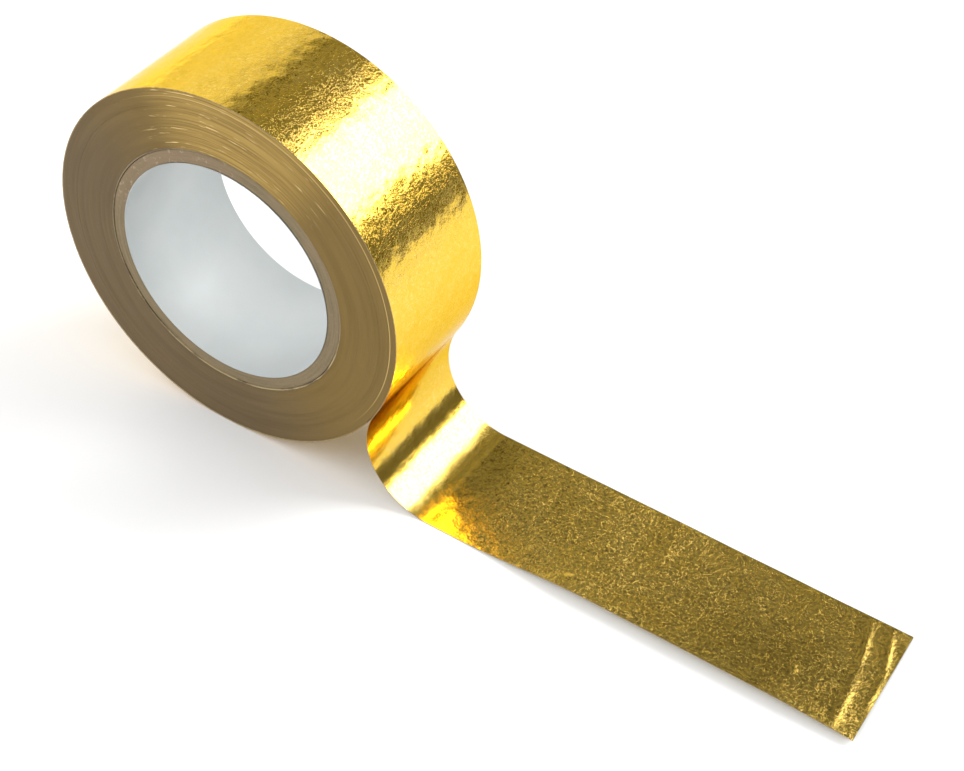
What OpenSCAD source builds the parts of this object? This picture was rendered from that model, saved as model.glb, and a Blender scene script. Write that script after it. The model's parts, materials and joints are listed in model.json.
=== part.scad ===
// Roll of decorative foil tape, standing on its rim, with a length drawn off.
// Origin: centre of the core's bore, half way along the tape's width.
// +Y runs along the roll's axis, +X along the flat length of tape, +Z up.
// The roll and the flat length both rest on the plane z = -roll_d / 2.

/* [Core] */
// Bore of the paper core
core_bore_d = 32; // [25:0.5:34]
// Thickness of the white liner paper that faces the bore
liner_t = 0.2; // [0.1:0.05:0.6]
// Thickness of each of the core's two board plies
ply_t = 0.95; // [0.5:0.05:1.2]

/* [Tape] */
// Width of the tape, and length of the core
tape_w = 20; // [10:1:40]
// Thickness of one layer of tape
tape_t = 0.12; // [0.1:0.01:0.2]
// Outside diameter of the roll
roll_d = 53.5; // [48:0.5:70]
// Thickness of the loosely wound last turns, under the outermost one
top_turns_t = 2.4; // [1:0.1:3]

/* [Drawn off length] */
// Angle below the roll's level where the tape leaves it
leave_angle = 26; // [20:1:40]
// Length of tape that lies flat
flat_len = 61.5; // [30:0.5:120]

/* [Hidden] */
$fn = 180;

// The outermost turn is part of the drawn length, so the roll spins inside it.
spin_gap = 0.03;
// Part of a turn left open, where the tape under the outermost turn comes up into it.
tuck_angle = 5;
// The tape's first turn is stuck down double on the core.
first_turn_layers = 2;
tail_pieces = 3;

roll_r = roll_d / 2;
liner_r = core_bore_d / 2;
ply_inner_r = liner_r + liner_t;
ply_outer_r = ply_inner_r + ply_t;
first_turn_r = ply_outer_r + ply_t;
winding_r = first_turn_r + first_turn_layers * tape_t;
pack_r = roll_r - tape_t - spin_gap;
top_turns_r = pack_r - top_turns_t;

// The bend touches the roll at leave_angle on one side and the floor on the other,
// with its own centre outside the roll, above the flat length.
bend_r = (roll_r * (1 - sin(leave_angle)) - tape_t) / (1 + sin(leave_angle));
bend_x = (roll_r + bend_r) * cos(leave_angle);
bend_z = -(roll_r + bend_r) * sin(leave_angle);
bend_sweep = 90 + leave_angle;
tail_piece_len = flat_len / tail_pieces;

foil_gold = [0.86, 0.66, 0.2];
winding_side = [0.48, 0.4, 0.26];
board_brown = [0.62, 0.52, 0.36];
paper_white = [0.93, 0.94, 0.95];
paper_cream = [0.85, 0.8, 0.66];

// Extrudes a profile drawn in the XZ plane over the tape's width.
module across_tape() {
    rotate([90, 0, 0])
        linear_extrude(height = tape_w, center = true)
            children();
}

// A ring about the roll's axis.
module ring(inner_r, outer_r) {
    across_tape()
        difference() {
            circle(r = outer_r);
            circle(r = inner_r);
        }
}

// An open ring about the roll's axis that starts at start_angle and turns
// anticlockwise, seen from -Y.
module open_ring(inner_r, outer_r, start_angle, sweep) {
    rotate([90, 0, 0])
        translate([0, 0, -tape_w / 2])
            rotate([0, 0, start_angle])
                rotate_extrude(angle = sweep)
                    translate([inner_r, 0])
                        square([outer_r - inner_r, tape_w]);
}

// One flat length of tape, counted from the bend.
module tail_piece(index) {
    translate([bend_x + index * tail_piece_len, -tape_w / 2, -roll_r])
        cube([tail_piece_len, tape_w, tape_t]);
}

module core_liner() {
    color(paper_white) ring(liner_r, ply_inner_r);
}

module core_ply_inner() {
    color(board_brown) ring(ply_inner_r, ply_outer_r);
}

module core_ply_outer() {
    color(board_brown) ring(ply_outer_r, first_turn_r);
}

module first_turn() {
    color(paper_cream) ring(first_turn_r, winding_r);
}

module winding() {
    color(winding_side) ring(winding_r, top_turns_r);
}

module top_turns() {
    color(winding_side) ring(top_turns_r, pack_r);
}

module outer_turn() {
    color(foil_gold)
        open_ring(roll_r - tape_t, roll_r, -leave_angle, 360 - tuck_angle);
}

module bend() {
    color(foil_gold)
        translate([bend_x, 0, bend_z])
            open_ring(bend_r, bend_r + tape_t, 180 - leave_angle, bend_sweep);
}

module tail_near() {
    color(foil_gold) tail_piece(0);
}

module tail_mid() {
    color(foil_gold) tail_piece(1);
}

module tail_end() {
    color(foil_gold) tail_piece(2);
}

core_liner();
core_ply_inner();
core_ply_outer();
first_turn();
winding();
top_turns();
outer_turn();
bend();
tail_near();
tail_mid();
tail_end();
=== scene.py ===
"""Roll of gold foil tape on a paper core, with a length drawn off that lies on the table.

The tape's path runs on one length, s, from the place where the tape leaves the roll: negative back over the
roll, positive down the bend and along the flat length. Sizes are in metres, unless a docstring or comment
says millimetres.
"""

import json
import math

import bpy
import numpy as np
from mathutils import Matrix, Vector


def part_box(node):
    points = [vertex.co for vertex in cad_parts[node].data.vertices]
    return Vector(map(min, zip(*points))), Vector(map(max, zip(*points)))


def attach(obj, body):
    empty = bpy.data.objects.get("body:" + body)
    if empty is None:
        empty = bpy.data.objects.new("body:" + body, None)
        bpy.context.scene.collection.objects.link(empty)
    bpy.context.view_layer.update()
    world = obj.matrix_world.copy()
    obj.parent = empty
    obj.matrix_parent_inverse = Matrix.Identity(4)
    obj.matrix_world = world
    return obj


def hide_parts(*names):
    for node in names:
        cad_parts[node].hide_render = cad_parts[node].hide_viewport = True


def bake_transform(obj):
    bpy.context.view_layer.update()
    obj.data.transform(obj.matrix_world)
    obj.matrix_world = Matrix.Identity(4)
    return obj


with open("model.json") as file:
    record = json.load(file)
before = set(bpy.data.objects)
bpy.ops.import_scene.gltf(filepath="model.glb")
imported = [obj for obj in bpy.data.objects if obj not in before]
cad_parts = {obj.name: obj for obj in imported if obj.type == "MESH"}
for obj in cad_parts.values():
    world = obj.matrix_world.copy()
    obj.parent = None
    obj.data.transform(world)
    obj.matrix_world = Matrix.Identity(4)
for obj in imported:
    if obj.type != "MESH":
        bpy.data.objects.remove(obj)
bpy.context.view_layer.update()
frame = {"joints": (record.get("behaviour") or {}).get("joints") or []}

# Sizes and places that the CAD gives, from its hinges and its nodes' boxes.
MM = 0.001
HINGES = {j["name"]: Vector(j["pos_m"]) for j in frame["joints"]}
LEAVE = HINGES["bend_lift"]
ROLL_R = math.hypot(LEAVE.x, LEAVE.z)
LEAVE_ANGLE = math.atan2(-LEAVE.z, LEAVE.x)
FLOOR_Z = -ROLL_R
TAPE_T = HINGES["tail_lift"].z - FLOOR_Z
BEND_R = (ROLL_R * (1 - math.sin(LEAVE_ANGLE)) - TAPE_T) / (1 + math.sin(LEAVE_ANGLE))
BEND_X = HINGES["tail_lift"].x
BEND_Z = -(ROLL_R + BEND_R) * math.sin(LEAVE_ANGLE)
BEND_LENGTH = BEND_R * (math.pi / 2 + LEAVE_ANGLE)
FLAT_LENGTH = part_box("tail_end")[1].x - BEND_X
PIECE_LENGTH = HINGES["tail_curl"].x - BEND_X
HALF_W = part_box("tail_end")[1].y
BORE_R = -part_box("core_liner")[0].z

# The outermost turn stops this far short of a full turn, where the tape below comes up into it.
TUCK_ANGLE = math.radians(5)
RING_SEGMENTS = 360
# Keeps the walls of neighbouring rings off each other.
RING_GAP = 0.01 * MM


def ring_radius(node):
    """Outer radius of a ring node about the roll's axis."""
    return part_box(node)[1].x


def add_object(name, data):
    obj = bpy.data.objects.new(name, data)
    bpy.context.collection.objects.link(obj)
    return obj


# ---------------------------------------------------------------- camera and stage


def make_camera():
    azimuth, elevation, roll = math.radians(27.6), math.radians(44.1), math.radians(6.0)
    distance = 249.8 * MM
    aim = Vector((32.1, 3.4, -12.2)) * MM
    level = math.cos(elevation)
    back = Vector((math.sin(azimuth) * level, -math.cos(azimuth) * level, math.sin(elevation)))
    data = bpy.data.cameras.new("camera")
    data.sensor_width = 36
    data.lens = 70.5
    data.clip_start, data.clip_end = 0.01, 20
    camera = add_object("camera", data)
    turn = (-back).to_track_quat("-Z", "Y").to_matrix() @ Matrix.Rotation(roll, 3, "Z")
    camera.matrix_world = Matrix.Translation(aim + back * distance) @ turn.to_4x4()
    bpy.context.scene.camera = camera


def area_light(name, centre, facing, size, radiance, diffuse=True, glossy=True):
    """A soft box at centre that faces along facing. Its second side runs along Y where it can."""
    data = bpy.data.lights.new(name, "AREA")
    data.shape = "RECTANGLE"
    data.size, data.size_y = size
    data.energy = radiance * math.pi * size[0] * size[1]
    light = add_object(name, data)
    z = -Vector(facing).normalized()
    x = Vector((0, 1, 0)).cross(z).normalized()
    turn = Matrix((x, z.cross(x), z)).transposed()
    light.matrix_world = Matrix.Translation(Vector(centre)) @ turn.to_4x4()
    light.visible_camera = False
    light.visible_diffuse = diffuse
    light.visible_glossy = glossy


def around_axis(angle, distance, y):
    """A point at that angle (degrees) about the roll's axis, at distance from the axis."""
    a = math.radians(angle)
    return Vector((distance * math.cos(a), y, distance * math.sin(a)))


def make_lights():
    # The box behind and to the right of the roll makes the white band on the foil.
    box_angle, box_distance, box_y, box_size = 53, 1.4, 1.3, (1.1, 1.3)
    box_shine, box_light = 11, 6.8
    box_facing = -around_axis(box_angle, 1, 0)
    box_centre = around_axis(box_angle, box_distance, box_y)
    area_light("softbox_shine", box_centre, box_facing, box_size, box_shine, diffuse=False)
    area_light("softbox_light", box_centre, box_facing, box_size, box_light, glossy=False)
    # A white card on the left reaches the table, so no dark line shows there.
    card_centre, card_facing, card_size = (-0.6, 0.75, 0.4), (1, 0, 0), (0.86, 1.8)
    area_light("left_card", card_centre, card_facing, card_size, 0.84)
    fill_centre, fill_facing, fill_size = (-0.6, -0.7, 0.7), (0.6, 0.7, -0.7), (0.9, 0.9)
    area_light("front_fill", fill_centre, fill_facing, fill_size, 1.9, glossy=False)


def background(tree, grey):
    shader = tree.nodes.new("ShaderNodeBackground")
    shader.inputs["Color"].default_value = (grey, grey, grey, 1)
    return shader


def make_patchy(tree, shader):
    """Makes a room dim and patchy, like a real one, so the foil's fibres show in it."""
    patch_scale, patch_detail = 20, 3
    patch_low, patch_high, dimmest, brightest = 0.38, 0.62, 0.0, 0.5
    place = tree.nodes.new("ShaderNodeTexCoord")
    patches = tree.nodes.new("ShaderNodeTexNoise")
    patches.inputs["Scale"].default_value = patch_scale
    patches.inputs["Detail"].default_value = patch_detail
    level = tree.nodes.new("ShaderNodeMapRange")
    for socket, value in zip(level.inputs[1:5], (patch_low, patch_high, dimmest, brightest)):
        socket.default_value = value
    tree.links.new(place.outputs["Generated"], patches.inputs["Vector"])
    tree.links.new(patches.outputs["Fac"], level.inputs["Value"])
    tree.links.new(level.outputs[0], shader.inputs["Strength"])


def make_world():
    """A bright room for the matt parts and the backdrop, and a dim one for what the foil reflects."""
    matt_grey, reflected_grey, backdrop_grey = 0.9, 1.0, 1.0
    world = bpy.data.worlds.new("studio")
    bpy.context.scene.world = world
    world.use_nodes = True
    tree = world.node_tree
    tree.nodes.clear()
    ray_kind = tree.nodes.new("ShaderNodeLightPath")
    matt = background(tree, matt_grey)
    reflected = background(tree, reflected_grey)
    backdrop = background(tree, backdrop_grey)
    make_patchy(tree, reflected)
    result = matt.outputs[0]
    for ray, shader in (("Is Glossy Ray", reflected), ("Is Camera Ray", backdrop)):
        mix = tree.nodes.new("ShaderNodeMixShader")
        tree.links.new(ray_kind.outputs[ray], mix.inputs["Fac"])
        tree.links.new(result, mix.inputs[1])
        tree.links.new(shader.outputs[0], mix.inputs[2])
        result = mix.outputs[0]
    out = tree.nodes.new("ShaderNodeOutputWorld")
    tree.links.new(result, out.inputs["Surface"])


def plane(name, corners, material):
    mesh = bpy.data.meshes.new(name)
    mesh.from_pydata([tuple(c) for c in corners], [], [(0, 1, 2, 3)])
    mesh.materials.append(material)
    obj = add_object(name, mesh)
    return obj


def make_floor():
    half = 1.6
    material = new_material("floor", (0.87, 0.87, 0.87), roughness=0.9)
    corners = [(-half, -half), (half, -half), (half, half), (-half, half)]
    plane("floor", [(x, y, FLOOR_Z) for x, y in corners], material)


def make_flag():
    """A dark flag on the right, where only reflections see it: the dark band on the foil."""
    x, near, far, top = 0.5, 0.05, 1.2, 0.16
    glow = 0.15
    material = new_material("flag", (0, 0, 0), roughness=1)
    shader = material.node_tree.nodes["Principled BSDF"]
    shader.inputs["Emission Color"].default_value = (glow, glow, glow, 1)
    shader.inputs["Emission Strength"].default_value = 1
    shader.inputs["Specular IOR Level"].default_value = 0
    corners = [(x, near, FLOOR_Z), (x, far, FLOOR_Z), (x, far, top), (x, near, top)]
    flag = plane("flag", corners, material)
    flag.visible_camera = False
    flag.visible_diffuse = False
    flag.visible_shadow = False


# ---------------------------------------------------------------- materials


def new_material(name, colour, roughness=0.5, metallic=0.0):
    material = bpy.data.materials.new(name)
    material.use_nodes = True
    shader = material.node_tree.nodes["Principled BSDF"]
    shader.inputs["Base Color"].default_value = (*colour, 1)
    shader.inputs["Roughness"].default_value = roughness
    shader.inputs["Metallic"].default_value = metallic
    return material


class Nodes:
    """Short calls for a material's node tree."""

    def __init__(self, material):
        self.tree = material.node_tree
        self.shader = self.tree.nodes["Principled BSDF"]

    def new(self, kind, **values):
        node = self.tree.nodes.new("ShaderNode" + kind)
        for key, value in values.items():
            setattr(node, key, value)
        return node

    def link(self, source, target):
        self.tree.links.new(source, target)

    def shade(self, socket, source):
        """Feeds one of the shader's sockets."""
        self.link(source, self.shader.inputs[socket])

    def put(self, target, value):
        if isinstance(value, bpy.types.NodeSocket):
            self.link(value, target)
        else:
            target.default_value = value

    def tape_uv(self):
        """The place on the tape: along it and across it, in millimetres."""
        return self.new("UVMap", uv_map="tape").outputs[0]

    def place(self):
        """The mesh's own point, in metres."""
        return self.new("TexCoord").outputs["Object"]

    def split(self, vector):
        node = self.new("SeparateXYZ")
        self.link(vector, node.inputs[0])
        return node.outputs

    def math(self, operation, a, b=0.0, c=0.0):
        node = self.new("Math", operation=operation)
        for socket, value in zip(node.inputs, (a, b, c)):
            self.put(socket, value)
        return node.outputs[0]

    def noise(self, vector, scale, detail=3.0, roughness=0.55, distortion=0.0, flat=False):
        node = self.new("TexNoise", noise_dimensions="2D" if flat else "3D")
        self.link(vector, node.inputs["Vector"])
        node.inputs["Scale"].default_value = scale
        node.inputs["Detail"].default_value = detail
        node.inputs["Roughness"].default_value = roughness
        node.inputs["Distortion"].default_value = distortion
        return node.outputs["Fac"]

    def ramp(self, factor, low, high, to_low=0.0, to_high=1.0):
        node = self.new("MapRange", interpolation_type="SMOOTHSTEP")
        for socket, value in zip(node.inputs, (factor, low, high, to_low, to_high)):
            self.put(socket, value)
        return node.outputs[0]

    def mix(self, factor, a, b):
        node = self.new("Mix", data_type="RGBA")
        self.put(node.inputs[0], factor)
        self.put(node.inputs[6], a)
        self.put(node.inputs[7], b)
        return node.outputs[2]

    def bump(self, height, distance, strength=1.0, normal=None):
        node = self.new("Bump")
        self.put(node.inputs["Strength"], strength)
        node.inputs["Distance"].default_value = distance
        self.link(height, node.inputs["Height"])
        if normal is not None:
            self.link(normal, node.inputs["Normal"])
        return node.outputs[0]


def foil_fibres(n, uv):
    """The paper's fibres under the foil: 1 on thin lines where a noise passes through its middle value."""
    fibres = 0.0
    for scale, width, distortion in ((1.0, 0.02, 1.2), (1.6, 0.028, 0.9), (2.6, 0.036, 0.6)):
        field = n.noise(uv, scale, detail=1, distortion=distortion, flat=True)
        off = n.math("ABSOLUTE", n.math("SUBTRACT", field, 0.5))
        fibres = n.math("MAXIMUM", fibres, n.ramp(off, 0.0, width, 1.0, 0.0))
    return fibres


def foil_slack(n, along):
    """How uneven the foil lies: 1 on the roll and on the table, less where the tape turns down and is pulled
    smooth, and less towards the cut end, where it was pressed flat."""
    from_bend = n.math("ABSOLUTE", n.math("SUBTRACT", along, 0.5 * BEND_LENGTH / MM))
    slack = n.ramp(from_bend, 11, 18, 0.45, 1.0)
    return n.math("MULTIPLY", slack, n.ramp(along, 38, 75, 1.0, 0.55))


def foil_pores(n, uv, along):
    """Dark pores between the paper's fibres, which the foil shows off the roll."""
    pores = n.noise(uv, 2.7, detail=3, roughness=0.75, distortion=0.8, flat=True)
    return n.math("MULTIPLY", n.ramp(pores, 0.42, 0.58, 1.0, 0.0), n.ramp(along, 19, 30, 0.0, 0.6))


def foil():
    """Gold foil over fibrous paper, with a painted glint on the fibres. Its pattern runs on the tape's own
    length and width.
    """
    deep_gold, glint_gold, pore_brown = (0.82, 0.53, 0.068, 1), (0.94, 0.68, 0.19, 1), (0.38, 0.29, 0.11, 1)
    fine_depth, cockle_depth = 0.0145 * MM, 0.15 * MM
    material = new_material("gold_foil", (0.82, 0.53, 0.07), roughness=0.14, metallic=1.0)
    n = Nodes(material)
    n.shader.inputs["Specular Tint"].default_value = (0.95, 0.78, 0.36, 1)
    uv = n.tape_uv()
    along = n.split(uv)["X"]
    fibres = foil_fibres(n, uv)
    grain = n.noise(uv, 3.2, detail=1.5, roughness=0.6, distortion=0.4, flat=True)
    crumple = n.noise(uv, 0.9, detail=2, distortion=0.5, flat=True)
    cockle = n.noise(uv, 0.25, detail=2, flat=True)
    patch = n.noise(uv, 0.12, detail=2, flat=True)
    height = n.math("MULTIPLY_ADD", fibres, 0.25, n.math("MULTIPLY_ADD", crumple, 0.7, grain))
    slack = foil_slack(n, along)
    # On the roll and the bend the tape is taut, so its finest relief is weaker there than on the table.
    fine = n.bump(height, fine_depth, n.math("MULTIPLY", slack, n.ramp(along, 12, 24, 0.75, 1.0)))
    n.shade("Normal", n.bump(cockle, cockle_depth, slack, fine))
    # Painted glint: the fibres get paler gold, in patches, as if their ridges caught the light; they are
    # also rougher.
    fibre_toned = n.math("MULTIPLY", fibres, n.ramp(patch, 0.35, 0.65, 0.6, 0.9))
    n.shade("Roughness", n.math("MULTIPLY_ADD", fibre_toned, 0.12, n.ramp(grain, 0.3, 0.7, 0.07, 0.11)))
    tint = n.mix(fibre_toned, deep_gold, glint_gold)
    n.shade("Base Color", n.mix(foil_pores(n, uv, along), tint, pore_brown))
    return material


def adhesive():
    """The tape's underside: thin cream paper with a satin film of adhesive."""
    dark_cream, light_cream = (0.52, 0.44, 0.27, 1), (0.7, 0.62, 0.43, 1)
    material = new_material("tape_underside", (0.62, 0.54, 0.36), roughness=0.4)
    n = Nodes(material)
    fibres = n.noise(n.tape_uv(), 1.1, detail=5, roughness=0.7, distortion=0.8, flat=True)
    n.shade("Base Color", n.mix(n.ramp(fibres, 0.3, 0.7), dark_cream, light_cream))
    n.shade("Roughness", n.ramp(fibres, 0.3, 0.7, 0.3, 0.5))
    n.shade("Normal", n.bump(fibres, 0.03 * MM))
    return material


def polar(n, place):
    """Radius about the roll's axis in millimetres, and the cosine and sine of the direction round it."""
    split = n.split(place)
    x = n.math("MULTIPLY", split["X"], 1000)
    z = n.math("MULTIPLY", split["Z"], 1000)
    radius = n.math("SQRT", n.math("ADD", n.math("MULTIPLY", x, x), n.math("MULTIPLY", z, z)))
    return radius, n.math("DIVIDE", x, radius), n.math("DIVIDE", z, radius)


def around(n, radius, cos, sin, turn_scale, radius_scale):
    """A pattern vector whose features are long round the axis and thin across it, with no seam."""
    vector = n.new("CombineXYZ")
    n.put(vector.inputs[0], n.math("MULTIPLY", cos, turn_scale))
    n.put(vector.inputs[1], n.math("MULTIPLY", sin, turn_scale))
    n.put(vector.inputs[2], n.math("MULTIPLY", radius, radius_scale))
    return vector.outputs[0]


def towards(n, cos, sin, angle, low, high):
    """1 on the side of the roll that faces angle (degrees), 0 on the far side."""
    x, z = math.cos(math.radians(angle)), math.sin(math.radians(angle))
    return n.ramp(n.math("ADD", n.math("MULTIPLY", cos, x), n.math("MULTIPLY", sin, z)), low, high)


def side_colour(n, radius, cos, sin, rings):
    """Olive brown with painted reflection and sheen: greyer to the lower left, warmer to the upper right,
    and a painted gold highlight at the top.
    """
    dark_grey, light_grey = (0.120, 0.081, 0.037, 1), (0.142, 0.097, 0.045, 1)
    dark_brown, light_brown = (0.162, 0.100, 0.021, 1), (0.188, 0.118, 0.027, 1)
    dark_gold, light_gold = (0.29, 0.18, 0.04, 1), (0.47, 0.31, 0.075, 1)
    bands = n.noise(around(n, radius, cos, sin, 1.0, 0.8), 1.0, detail=2)
    banded = n.ramp(bands, 0.35, 0.65)
    # Painted reflection and sheen: greyer on the lower left, warmer brown on the upper right, by direction
    # round the axis.
    sheen_side = towards(n, cos, sin, 40, -0.6, 0.4)
    # Painted gold highlight at the top, following the rings.
    top_highlight = towards(n, cos, sin, 84, 0.78, 1.0)
    plain = n.mix(sheen_side, n.mix(banded, dark_grey, light_grey), n.mix(banded, dark_brown, light_brown))
    gold = n.mix(n.ramp(rings, 0.3, 0.7), dark_gold, light_gold)
    return n.mix(n.math("MULTIPLY", top_highlight, n.ramp(rings, 0.35, 0.6, 0.45, 0.9)), plain, gold)


def side_marks(n, radius, cos, sin, under):
    """Adds scratches, painted bright only on the upper side as painted glints, and a thin gold line near the
    rim where one turn stands proud, shown only on the upper right as a painted highlight. The line drifts
    outwards round the roll."""
    scratch_glint_gold, rim_glint_gold = (0.8, 0.58, 0.25, 1), (0.6, 0.42, 0.15, 1)
    line_radius, line_drift = 25.5, 0.25
    nicks = n.noise(around(n, radius, cos, sin, 5.0, 4.2), 1.0, detail=2)
    # The scratches are painted bright only on the upper side, as painted glints.
    scratch_glint = n.math("MULTIPLY", n.ramp(nicks, 0.64, 0.69), towards(n, cos, sin, 85, 0.72, 0.95))
    drift = n.math("MULTIPLY_ADD", n.math("ADD", cos, sin), line_drift, line_radius)
    off = n.math("ABSOLUTE", n.math("SUBTRACT", radius, drift))
    # Painted highlight: the gold line shows only on the upper right.
    rim_glint = n.math("MULTIPLY", n.ramp(off, 0.03, 0.09, 0.8, 0.0), towards(n, cos, sin, 45, 0.1, 0.7))
    return n.mix(rim_glint, n.mix(scratch_glint, under, scratch_glint_gold), rim_glint_gold)


def wound_side():
    """Cut edges of the wound turns: satin olive brown with a painted sheen to the upper right, fine rings
    and a few scratches painted bright on the upper side.
    """
    ring_brown, fuzz_tan = (0.24, 0.165, 0.07, 1), (0.36, 0.27, 0.15, 1)
    material = new_material("winding_side", (0.2, 0.14, 0.07), roughness=0.5)
    n = Nodes(material)
    n.shader.inputs["Specular IOR Level"].default_value = 0.2
    place = n.place()
    radius, cos, sin = polar(n, place)
    rings = n.noise(around(n, radius, cos, sin, 1.5, 5.0), 1.0, detail=3, roughness=0.7)
    fuzz = n.noise(place, 1500, detail=4, roughness=0.7)
    base = side_colour(n, radius, cos, sin, rings)
    ringed = n.mix(n.ramp(rings, 0.45, 0.75, 0.0, 0.25), base, ring_brown)
    fibre_toned = n.mix(n.ramp(fuzz, 0.62, 0.8, 0.0, 0.4), ringed, fuzz_tan)
    n.shade("Base Color", side_marks(n, radius, cos, sin, fibre_toned))
    n.shade("Roughness", n.ramp(rings, 0.3, 0.7, 0.42, 0.6))
    height = n.math("MULTIPLY_ADD", rings, 0.8, n.math("MULTIPLY", fuzz, 0.25))
    n.shade("Normal", n.bump(height, 0.06 * MM))
    return material


def tape_edge():
    """The tape's own cut edge: brown gold."""
    dark_edge, light_edge = (0.22, 0.15, 0.055, 1), (0.42, 0.29, 0.10, 1)
    material = new_material("tape_edge", (0.3, 0.2, 0.07), roughness=0.45)
    n = Nodes(material)
    nick = n.noise(n.tape_uv(), 1.7, detail=3, flat=True)
    n.shade("Base Color", n.mix(n.ramp(nick, 0.35, 0.7), dark_edge, light_edge))
    n.shade("Normal", n.bump(nick, 0.02 * MM))
    return material


def board():
    """Cut end of the core's board: grey brown, fibrous, in plies, with pale specks on one side."""
    dark_board, light_board = (0.18, 0.138, 0.072, 1), (0.235, 0.176, 0.094, 1)
    fibre_tan, patch_brown = (0.30, 0.23, 0.13, 1), (0.25, 0.18, 0.10, 1)
    torn_pink, speck_tan = (0.27, 0.18, 0.105, 1), (0.37, 0.28, 0.19, 1)
    material = new_material("core_board", (0.23, 0.175, 0.1), roughness=0.75)
    n = Nodes(material)
    place = n.place()
    radius, cos, sin = polar(n, place)
    plies = n.noise(around(n, radius, cos, sin, 2.0, 3.0), 1.0, detail=3, roughness=0.65)
    fibre = n.noise(place, 2200, detail=5, roughness=0.7, distortion=0.5)
    patch = n.noise(place, 260, detail=2)
    base = n.mix(n.ramp(plies, 0.3, 0.7), dark_board, light_board)
    fuzzy = n.mix(n.ramp(fibre, 0.5, 0.8, 0.0, 0.6), base, fibre_tan)
    patched = n.mix(n.ramp(patch, 0.55, 0.75, 0.0, 0.5), fuzzy, patch_brown)
    torn_side = towards(n, cos, sin, 125, 0.6, 0.95)
    pinkish = n.mix(n.math("MULTIPLY", torn_side, 0.4), patched, torn_pink)
    speck = n.math("MULTIPLY", n.ramp(n.noise(place, 1400, detail=3), 0.58, 0.68), torn_side)
    n.shade("Base Color", n.mix(speck, pinkish, speck_tan))
    height = n.math("MULTIPLY_ADD", plies, 0.5, n.math("MULTIPLY", fibre, 0.6))
    n.shade("Normal", n.bump(height, 0.12 * MM))
    return material


def liner_paper():
    """Smooth white paper inside the core."""
    dark_white, light_white = (0.485, 0.515, 0.51, 1), (0.525, 0.55, 0.545, 1)
    material = new_material("liner_paper", (0.8, 0.82, 0.83), roughness=0.55)
    n = Nodes(material)
    place = n.place()
    cloud = n.noise(place, 120, detail=3)
    tooth = n.noise(place, 3000, detail=3)
    n.shade("Base Color", n.mix(n.ramp(cloud, 0.3, 0.7), dark_white, light_white))
    n.shade("Roughness", n.ramp(cloud, 0.3, 0.7, 0.48, 0.62))
    n.shade("Normal", n.bump(tooth, 0.01 * MM))
    return material


def first_turn_edge():
    """Edge of the first turn: pale gold in places, mostly at the bottom, brown in others."""
    edge_brown, edge_gold = (0.16, 0.115, 0.06, 1), (0.46, 0.36, 0.19, 1)
    material = new_material("first_turn_edge", (0.5, 0.4, 0.22), roughness=0.45, metallic=0.3)
    n = Nodes(material)
    radius, cos, sin = polar(n, n.place())
    broken = n.noise(around(n, radius, cos, sin, 3.0, 1.0), 1.0, detail=4, roughness=0.7)
    downwards = n.math("ADD", n.math("MULTIPLY", cos, 0.2), n.math("MULTIPLY", sin, -0.98))
    lower = n.ramp(downwards, -0.1, 0.7)
    pale = n.math("MULTIPLY", n.ramp(broken, 0.4, 0.55), n.ramp(lower, 0.0, 1.0, 0.25, 1.0))
    n.shade("Base Color", n.mix(pale, edge_brown, edge_gold))
    n.shade("Normal", n.bump(broken, 0.05 * MM))
    return material


# ---------------------------------------------------------------- the tape


def path(s):
    """Points (x, z) of the tape's gold face and its normal there, for an array of lengths s."""
    on_roll = -LEAVE_ANGLE - np.minimum(s, 0) / ROLL_R
    on_bend = math.pi - LEAVE_ANGLE + np.clip(s, 0, BEND_LENGTH) / BEND_R
    flat = np.maximum(s - BEND_LENGTH, 0)
    roll = np.stack([np.cos(on_roll), np.sin(on_roll)], 1)
    bend = np.stack([np.cos(on_bend), np.sin(on_bend)], 1)
    after = (s > 0)[:, None]
    point = np.where(after, np.array([BEND_X, BEND_Z]) + BEND_R * bend, ROLL_R * roll)
    point[:, 0] += flat
    return point, np.where(after, -bend, roll)


# Creases near the cut end and soft dents along the flat length, each from (along, across) to
# (along, across) in millimetres from the bend and from the middle of the tape, then height and half width.
CREASES = [
    ((55.9, 9.4), (57.7, 0.8), 0.09, 0.5),
    ((57.6, 1.0), (58.5, -9.6), 0.1, 0.7),
    ((58.9, 9.4), (60.7, 2.0), 0.1, 0.45),
    ((60.8, 2.4), (60.9, -5.0), 0.07, 0.4),
    ((53.0, 9.4), (54.8, 3.0), 0.03, 0.5),
    ((49.1, 9.7), (49.3, 4.9), 0.035, 0.5),
    ((44.6, 6.2), (45.0, 2.9), 0.035, 0.35),
    ((37.3, 3.8), (44.3, 4.8), 0.07, 0.4),
    ((38.6, 5.5), (43.4, 2.3), 0.1, 0.6),
    ((50.6, -3.0), (51.1, -5.5), 0.04, 0.35),
    ((27.4, 6.1), (29.3, 3.7), 0.13, 0.9),
    ((23.6, 1.0), (30.1, 0.1), 0.045, 0.4),
    ((17.8, 7.0), (19.5, -2.5), 0.025, 0.4),
    ((19.0, -8.0), (23.0, -7.1), 0.04, 0.5),
]


def crease_height(along, across):
    """Height of the creases, in metres, over arrays in millimetres."""
    total = np.zeros_like(along)
    for (a0, c0), (a1, c1), height, half_width in CREASES:
        run = np.array([a1 - a0, c1 - c0])
        length = np.hypot(*run)
        t = ((along - a0) * run[0] + (across - c0) * run[1]) / length**2
        nearest = np.clip(t, 0, 1)
        beside = np.hypot(along - a0 - nearest * run[0], across - c0 - nearest * run[1])
        ends = np.sin(np.pi * np.clip(t, 0.02, 0.98)) ** 0.5
        total += height * ends * np.exp(-((beside / half_width) ** 2))
    return total * MM


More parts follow.
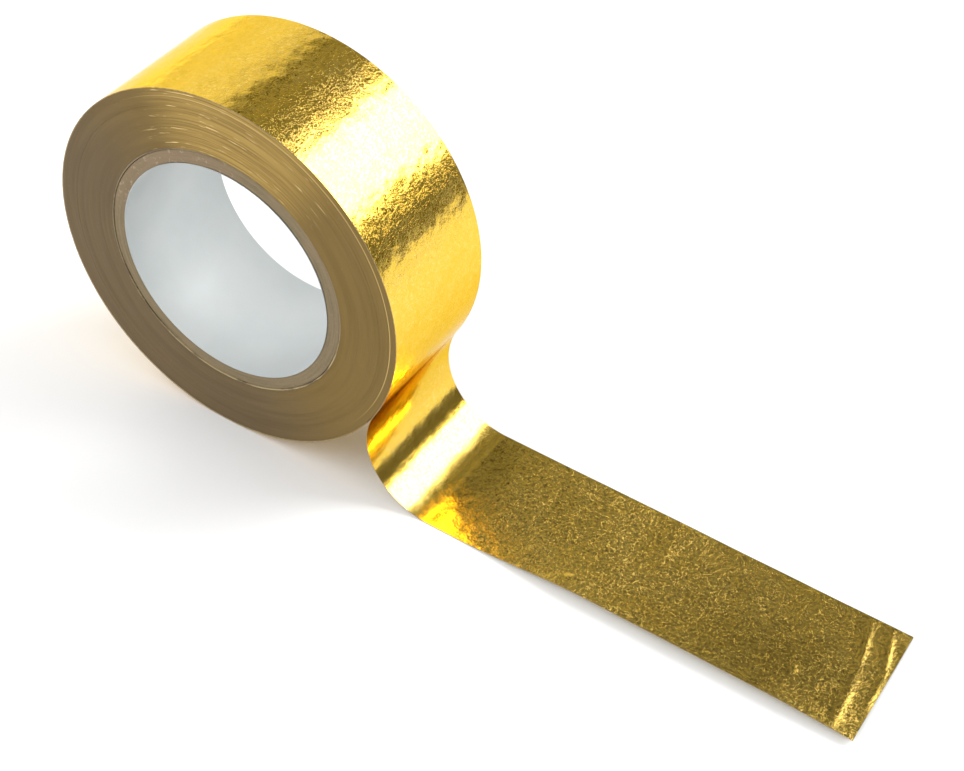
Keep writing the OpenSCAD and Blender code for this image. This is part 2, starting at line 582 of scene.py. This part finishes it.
def flat_lift(along, across):
    """How far the flat length stands off the table, in metres, over arrays in millimetres: its near edge is
    lifted, less so at the cut end."""
    rise_start, rise_run, tip_start = 4, 20, 48
    middle_lift, edge_lift, ripple_lift, tip_lift = 0.05, 1.25, 0.06, 0.1
    rise = np.clip((along - rise_start) / rise_run, 0, 1)
    rise = rise * rise * (3 - 2 * rise)
    ripple = 0.5 + 0.5 * np.sin(along * 0.34 + 0.15 * across) * np.sin(along * 0.11 + 1.0)
    near = (0.5 - 0.5 * across / (HALF_W / MM)) ** 2.2
    tip = np.clip((along - tip_start) / (FLAT_LENGTH / MM - tip_start), 0, 1)
    lifted = middle_lift + edge_lift * near * (1 - 0.5 * tip**2)
    return (rise * lifted + ripple_lift * rise * ripple + tip_lift * tip**2) * MM


def set_uv(mesh, uv):
    """Gives a mesh the tape's map from each vertex's (along, across)."""
    layer = mesh.uv_layers.new(name="tape")
    loops = np.zeros(len(mesh.loops), int)
    mesh.loops.foreach_get("vertex_index", loops)
    layer.data.foreach_set("uv", uv[loops].astype(np.float32).ravel())


def tape_points(s, y):
    """The tape's points over the grid of lengths s and widths y: on its gold face and under it."""
    rows, columns = len(s), len(y)
    point, normal = path(s)
    point, normal = np.repeat(point, columns, 0), np.repeat(normal, columns, 0)
    along = np.repeat((s - BEND_LENGTH) / MM, columns)
    across = np.tile(y / MM, rows)
    crease_fade = 4
    creases = crease_height(along, across) * np.clip(along / crease_fade, 0, 1)
    lift = flat_lift(along, across) + creases
    face = point + lift[:, None] * normal
    below = face - TAPE_T * normal
    width = np.tile(y, rows)
    return [np.stack([side[:, 0], width, side[:, 1]], 1) for side in (face, below)]


def sheet_faces(rows, columns):
    """Faces of a closed sheet: upper side, lower side and cut edges, and the vertices of the upper rim."""
    index = np.arange(rows * columns).reshape(rows, columns)
    a, b, c, d = index[:-1, :-1], index[1:, :-1], index[1:, 1:], index[:-1, 1:]
    upper = np.stack([a, b, c, d], -1).reshape(-1, 4)
    lower = upper[:, ::-1] + rows * columns
    rim = np.concatenate([index[:, 0], index[-1, 1:], index[-2::-1, -1], index[0, -2:0:-1]])
    after = np.roll(rim, -1)
    wall = np.stack([after, rim, rim + rows * columns, after + rows * columns], 1)
    return upper, lower, wall, rim


def mark_sharp_rim(mesh, rim, offset):
    """Keeps the tape's cut edges crisp."""
    pairs = {frozenset((int(p), int(q))) for p, q in zip(rim, np.roll(rim, -1))}
    pairs |= {frozenset((int(p) + offset, int(q) + offset)) for p, q in zip(rim, np.roll(rim, -1))}
    for edge in mesh.edges:
        if frozenset(edge.vertices) in pairs:
            edge.use_edge_sharp = True


def tape_mesh(name, start, end, across_step):
    """A length of tape from start to end: a closed thin sheet, gold above, adhesive below."""
    step = 0.2 * MM
    s = np.linspace(start, end, max(2, round((end - start) / step)) + 1)
    y = np.linspace(-HALF_W, HALF_W, round(2 * HALF_W / across_step) + 1)
    top, under = tape_points(s, y)
    upper, lower, wall, rim = sheet_faces(len(s), len(y))
    faces = np.concatenate([upper, lower, wall])
    mesh = bpy.data.meshes.new(name)
    mesh.from_pydata(np.concatenate([top, under]).tolist(), [], faces.tolist())
    uv = np.stack([np.repeat(s, len(y)), np.tile(y, len(s))], 1) / MM
    set_uv(mesh, np.concatenate([uv, uv]))
    slots = np.repeat([0, 1, 2], [len(upper), len(lower), len(wall)])
    mesh.polygons.foreach_set("material_index", slots)
    mesh.polygons.foreach_set("use_smooth", slots < 2)
    mark_sharp_rim(mesh, rim, len(top))
    for material in ("foil", "underside", "edge"):
        mesh.materials.append(MATERIALS[material])
    obj = add_object(name, mesh)
    return obj


def at(s):
    """The point on the gold face at length s, in the middle of the tape."""
    x, z = path(np.array([s]))[0][0]
    return Vector((x, 0, z))


def make_tape():
    turn_start = -ROLL_R * (2 * math.pi - TUCK_ANGLE)
    join, bend_blend = -6 * MM, 6 * MM
    bend_middle = BEND_LENGTH * 0.55
    near_middle = BEND_LENGTH + 0.5 * PIECE_LENGTH
    mid_middle = BEND_LENGTH + 1.5 * PIECE_LENGTH
    end = BEND_LENGTH + FLAT_LENGTH
    wide, narrow = 1.0 * MM, 0.25 * MM

    turn = tape_mesh("tape_outer_turn", turn_start, join, wide)
    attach(turn, "drawn_turn")
    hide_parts("outer_turn")

    top = tape_mesh("tape_bend", join, bend_middle, wide)
    at(0)
    at(bend_blend)
    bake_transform(top)
    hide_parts("bend")

    # Each of the last three is named with the hinge inside it and the bodies and nodes that it joins.
    flat_pieces = [
        ("tape_foot", bend_middle, near_middle, HINGES["tail_lift"], ("bend", "tail_near")),
        ("tape_flat", near_middle, mid_middle, HINGES["tail_curl"], ("tail_near", "tail_mid")),
        ("tape_tip", mid_middle, end, HINGES["tip_curl"], ("tail_mid", "tail_end")),
    ]
    for name, first, last, hinge, joined in flat_pieces:
        piece = tape_mesh(name, first, last, narrow)
        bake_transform(piece)
        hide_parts(*joined)


# ---------------------------------------------------------------- the wound turns and the core


def ring_profile(inner, outer, radii, depths, bevel):
    """Loop of a ring's section. At radii its end faces sit by depths below the full width."""
    front = [(radius, -HALF_W + depth) for radius, depth in zip(radii, depths)]
    back = [(radius, -y) for radius, y in reversed(front)]
    loop = [(inner, -HALF_W + bevel), *front, (outer, -HALF_W + bevel)]
    loop += [(outer, HALF_W - bevel), *back, (inner, HALF_W - bevel)]
    return loop


def lathe(name, profile, material, dent=None, wall_material=None):
    """A closed ring about the roll's axis, from ring_profile's loop. dent(radius, y, angle) gives how far
    each point is pushed along Y; wall_material is for the outer wall alone."""
    loop = np.array(profile, float)
    count = len(loop)
    angle = np.linspace(0, 2 * math.pi, RING_SEGMENTS, endpoint=False)
    radius = np.tile(loop[:, 0], RING_SEGMENTS)
    y = np.tile(loop[:, 1], RING_SEGMENTS)
    turn = np.repeat(angle, count)
    if dent is not None:
        y = y + dent(radius, y, turn)
    points = np.stack([radius * np.cos(turn), y, radius * np.sin(turn)], 1)
    index = np.arange(RING_SEGMENTS * count).reshape(RING_SEGMENTS, count)
    following = np.roll(index, -1, 0)
    corners = [index, following, np.roll(following, -1, 1), np.roll(index, -1, 1)]
    faces = np.stack(corners, -1).reshape(-1, 4)
    mesh = bpy.data.meshes.new(name)
    mesh.from_pydata(points.tolist(), [], faces.tolist())
    mesh.polygons.foreach_set("use_smooth", np.ones(len(faces), bool))
    set_uv(mesh, np.stack([turn * ROLL_R, y], 1) / MM)
    mesh.materials.append(material)
    if wall_material is not None:
        slots = np.zeros(count, int)
        outer_wall = count // 2 - 1
        slots[outer_wall] = 1
        mesh.polygons.foreach_set("material_index", np.tile(slots, RING_SEGMENTS))
        mesh.materials.append(wall_material)
    return add_object(name, mesh)


def add_to_roll(ring, nodes):
    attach(ring, "roll")
    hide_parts(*nodes)


def uneven(rng, inner, outer, depth):
    """Radii across a wound pack, and how far each of its turns sits below the widest one."""
    spacing, margin = 0.24 * MM, 0.05 * MM
    radii = np.linspace(inner + margin, outer - margin, round((outer - inner) / spacing))
    return radii, depth * rng.random(len(radii))


def turns_wander(radius, y, angle):
    """The side isn't quite flat: low waves round the roll that pull inwards."""
    wave = 0.5 + 0.25 * np.sin(2 * angle + 900 * radius) + 0.25 * np.sin(5 * angle - 2100 * radius)
    inner = np.clip((HALF_W - np.abs(y)) / (0.3 * MM), 0, 1)
    return -np.sign(y) * 0.03 * MM * wave * (1 - inner)


def board_wander(radius, y, angle):
    """The board's ends are uneven too, in shorter waves."""
    wave = np.sin(3 * angle + 1500 * radius) + np.sin(11 * angle - 2500 * radius) + 2
    near_end = np.clip((np.abs(y) - HALF_W + 0.6 * MM) / (0.3 * MM), 0, 1)
    return -np.sign(y) * 0.025 * MM * wave * near_end


def make_wound_turns(rng):
    inner, outer = ring_radius("first_turn"), ring_radius("winding")
    radii, depths = uneven(rng, inner, outer, 0.03 * MM)
    profile = ring_profile(inner, outer, radii, depths, 0.01 * MM)
    ring = lathe("wound_turns", profile, MATERIALS["side"], turns_wander)
    add_to_roll(ring, ["winding"])


def make_wound_top_turns(rng):
    inner, outer = ring_radius("winding"), ring_radius("top_turns")
    radii, depths = uneven(rng, inner, outer, 0.04 * MM)
    profile = ring_profile(inner, outer, radii, depths, 0.02 * MM)
    ring = lathe("wound_top_turns", profile, MATERIALS["side"], turns_wander, MATERIALS["foil"])
    add_to_roll(ring, ["top_turns"])


def make_first_turn():
    inner, outer = ring_radius("core_ply_outer"), ring_radius("first_turn")
    radii = np.linspace(inner + 0.06 * MM, outer - 0.03 * MM, 4)
    depths = [0.02 * MM] * len(radii)
    profile = ring_profile(inner + 0.03 * MM, outer - RING_GAP, radii, depths, 0.08 * MM)
    ring = lathe("first_turn_edge", profile, MATERIALS["first"], turns_wander)
    add_to_roll(ring, ["first_turn"])


def make_core_board(rng):
    inner, outer = ring_radius("core_liner"), ring_radius("core_ply_outer")
    radii = np.linspace(inner + 0.1 * MM, outer - 0.15 * MM, 12)
    depths = 0.05 * MM + 0.08 * MM * rng.random(len(radii))
    profile = ring_profile(inner, outer - 0.04 * MM, radii, depths, 0.12 * MM)
    ring = lathe("core_board", profile, MATERIALS["board"], board_wander)
    add_to_roll(ring, ["core_ply_inner", "core_ply_outer"])


def make_core_liner():
    outer = ring_radius("core_liner")
    radii = [BORE_R + 0.05 * MM, outer - 0.03 * MM]
    depths = [0.03 * MM] * len(radii)
    profile = ring_profile(BORE_R, outer - RING_GAP, radii, depths, 0.06 * MM)
    ring = lathe("core_liner_paper", profile, MATERIALS["liner"])
    add_to_roll(ring, ["core_liner"])


def make_roll():
    rng = np.random.default_rng(7)
    make_wound_turns(rng)
    make_wound_top_turns(rng)
    make_first_turn()
    make_core_board(rng)
    make_core_liner()


MATERIALS = {
    "foil": foil(),
    "underside": adhesive(),
    "edge": tape_edge(),
    "side": wound_side(),
    "board": board(),
    "liner": liner_paper(),
    "first": first_turn_edge(),
}
bpy.context.scene.view_settings.view_transform = "Standard"
make_camera()
make_world()
make_lights()
make_floor()
make_flag()
make_roll()
make_tape()
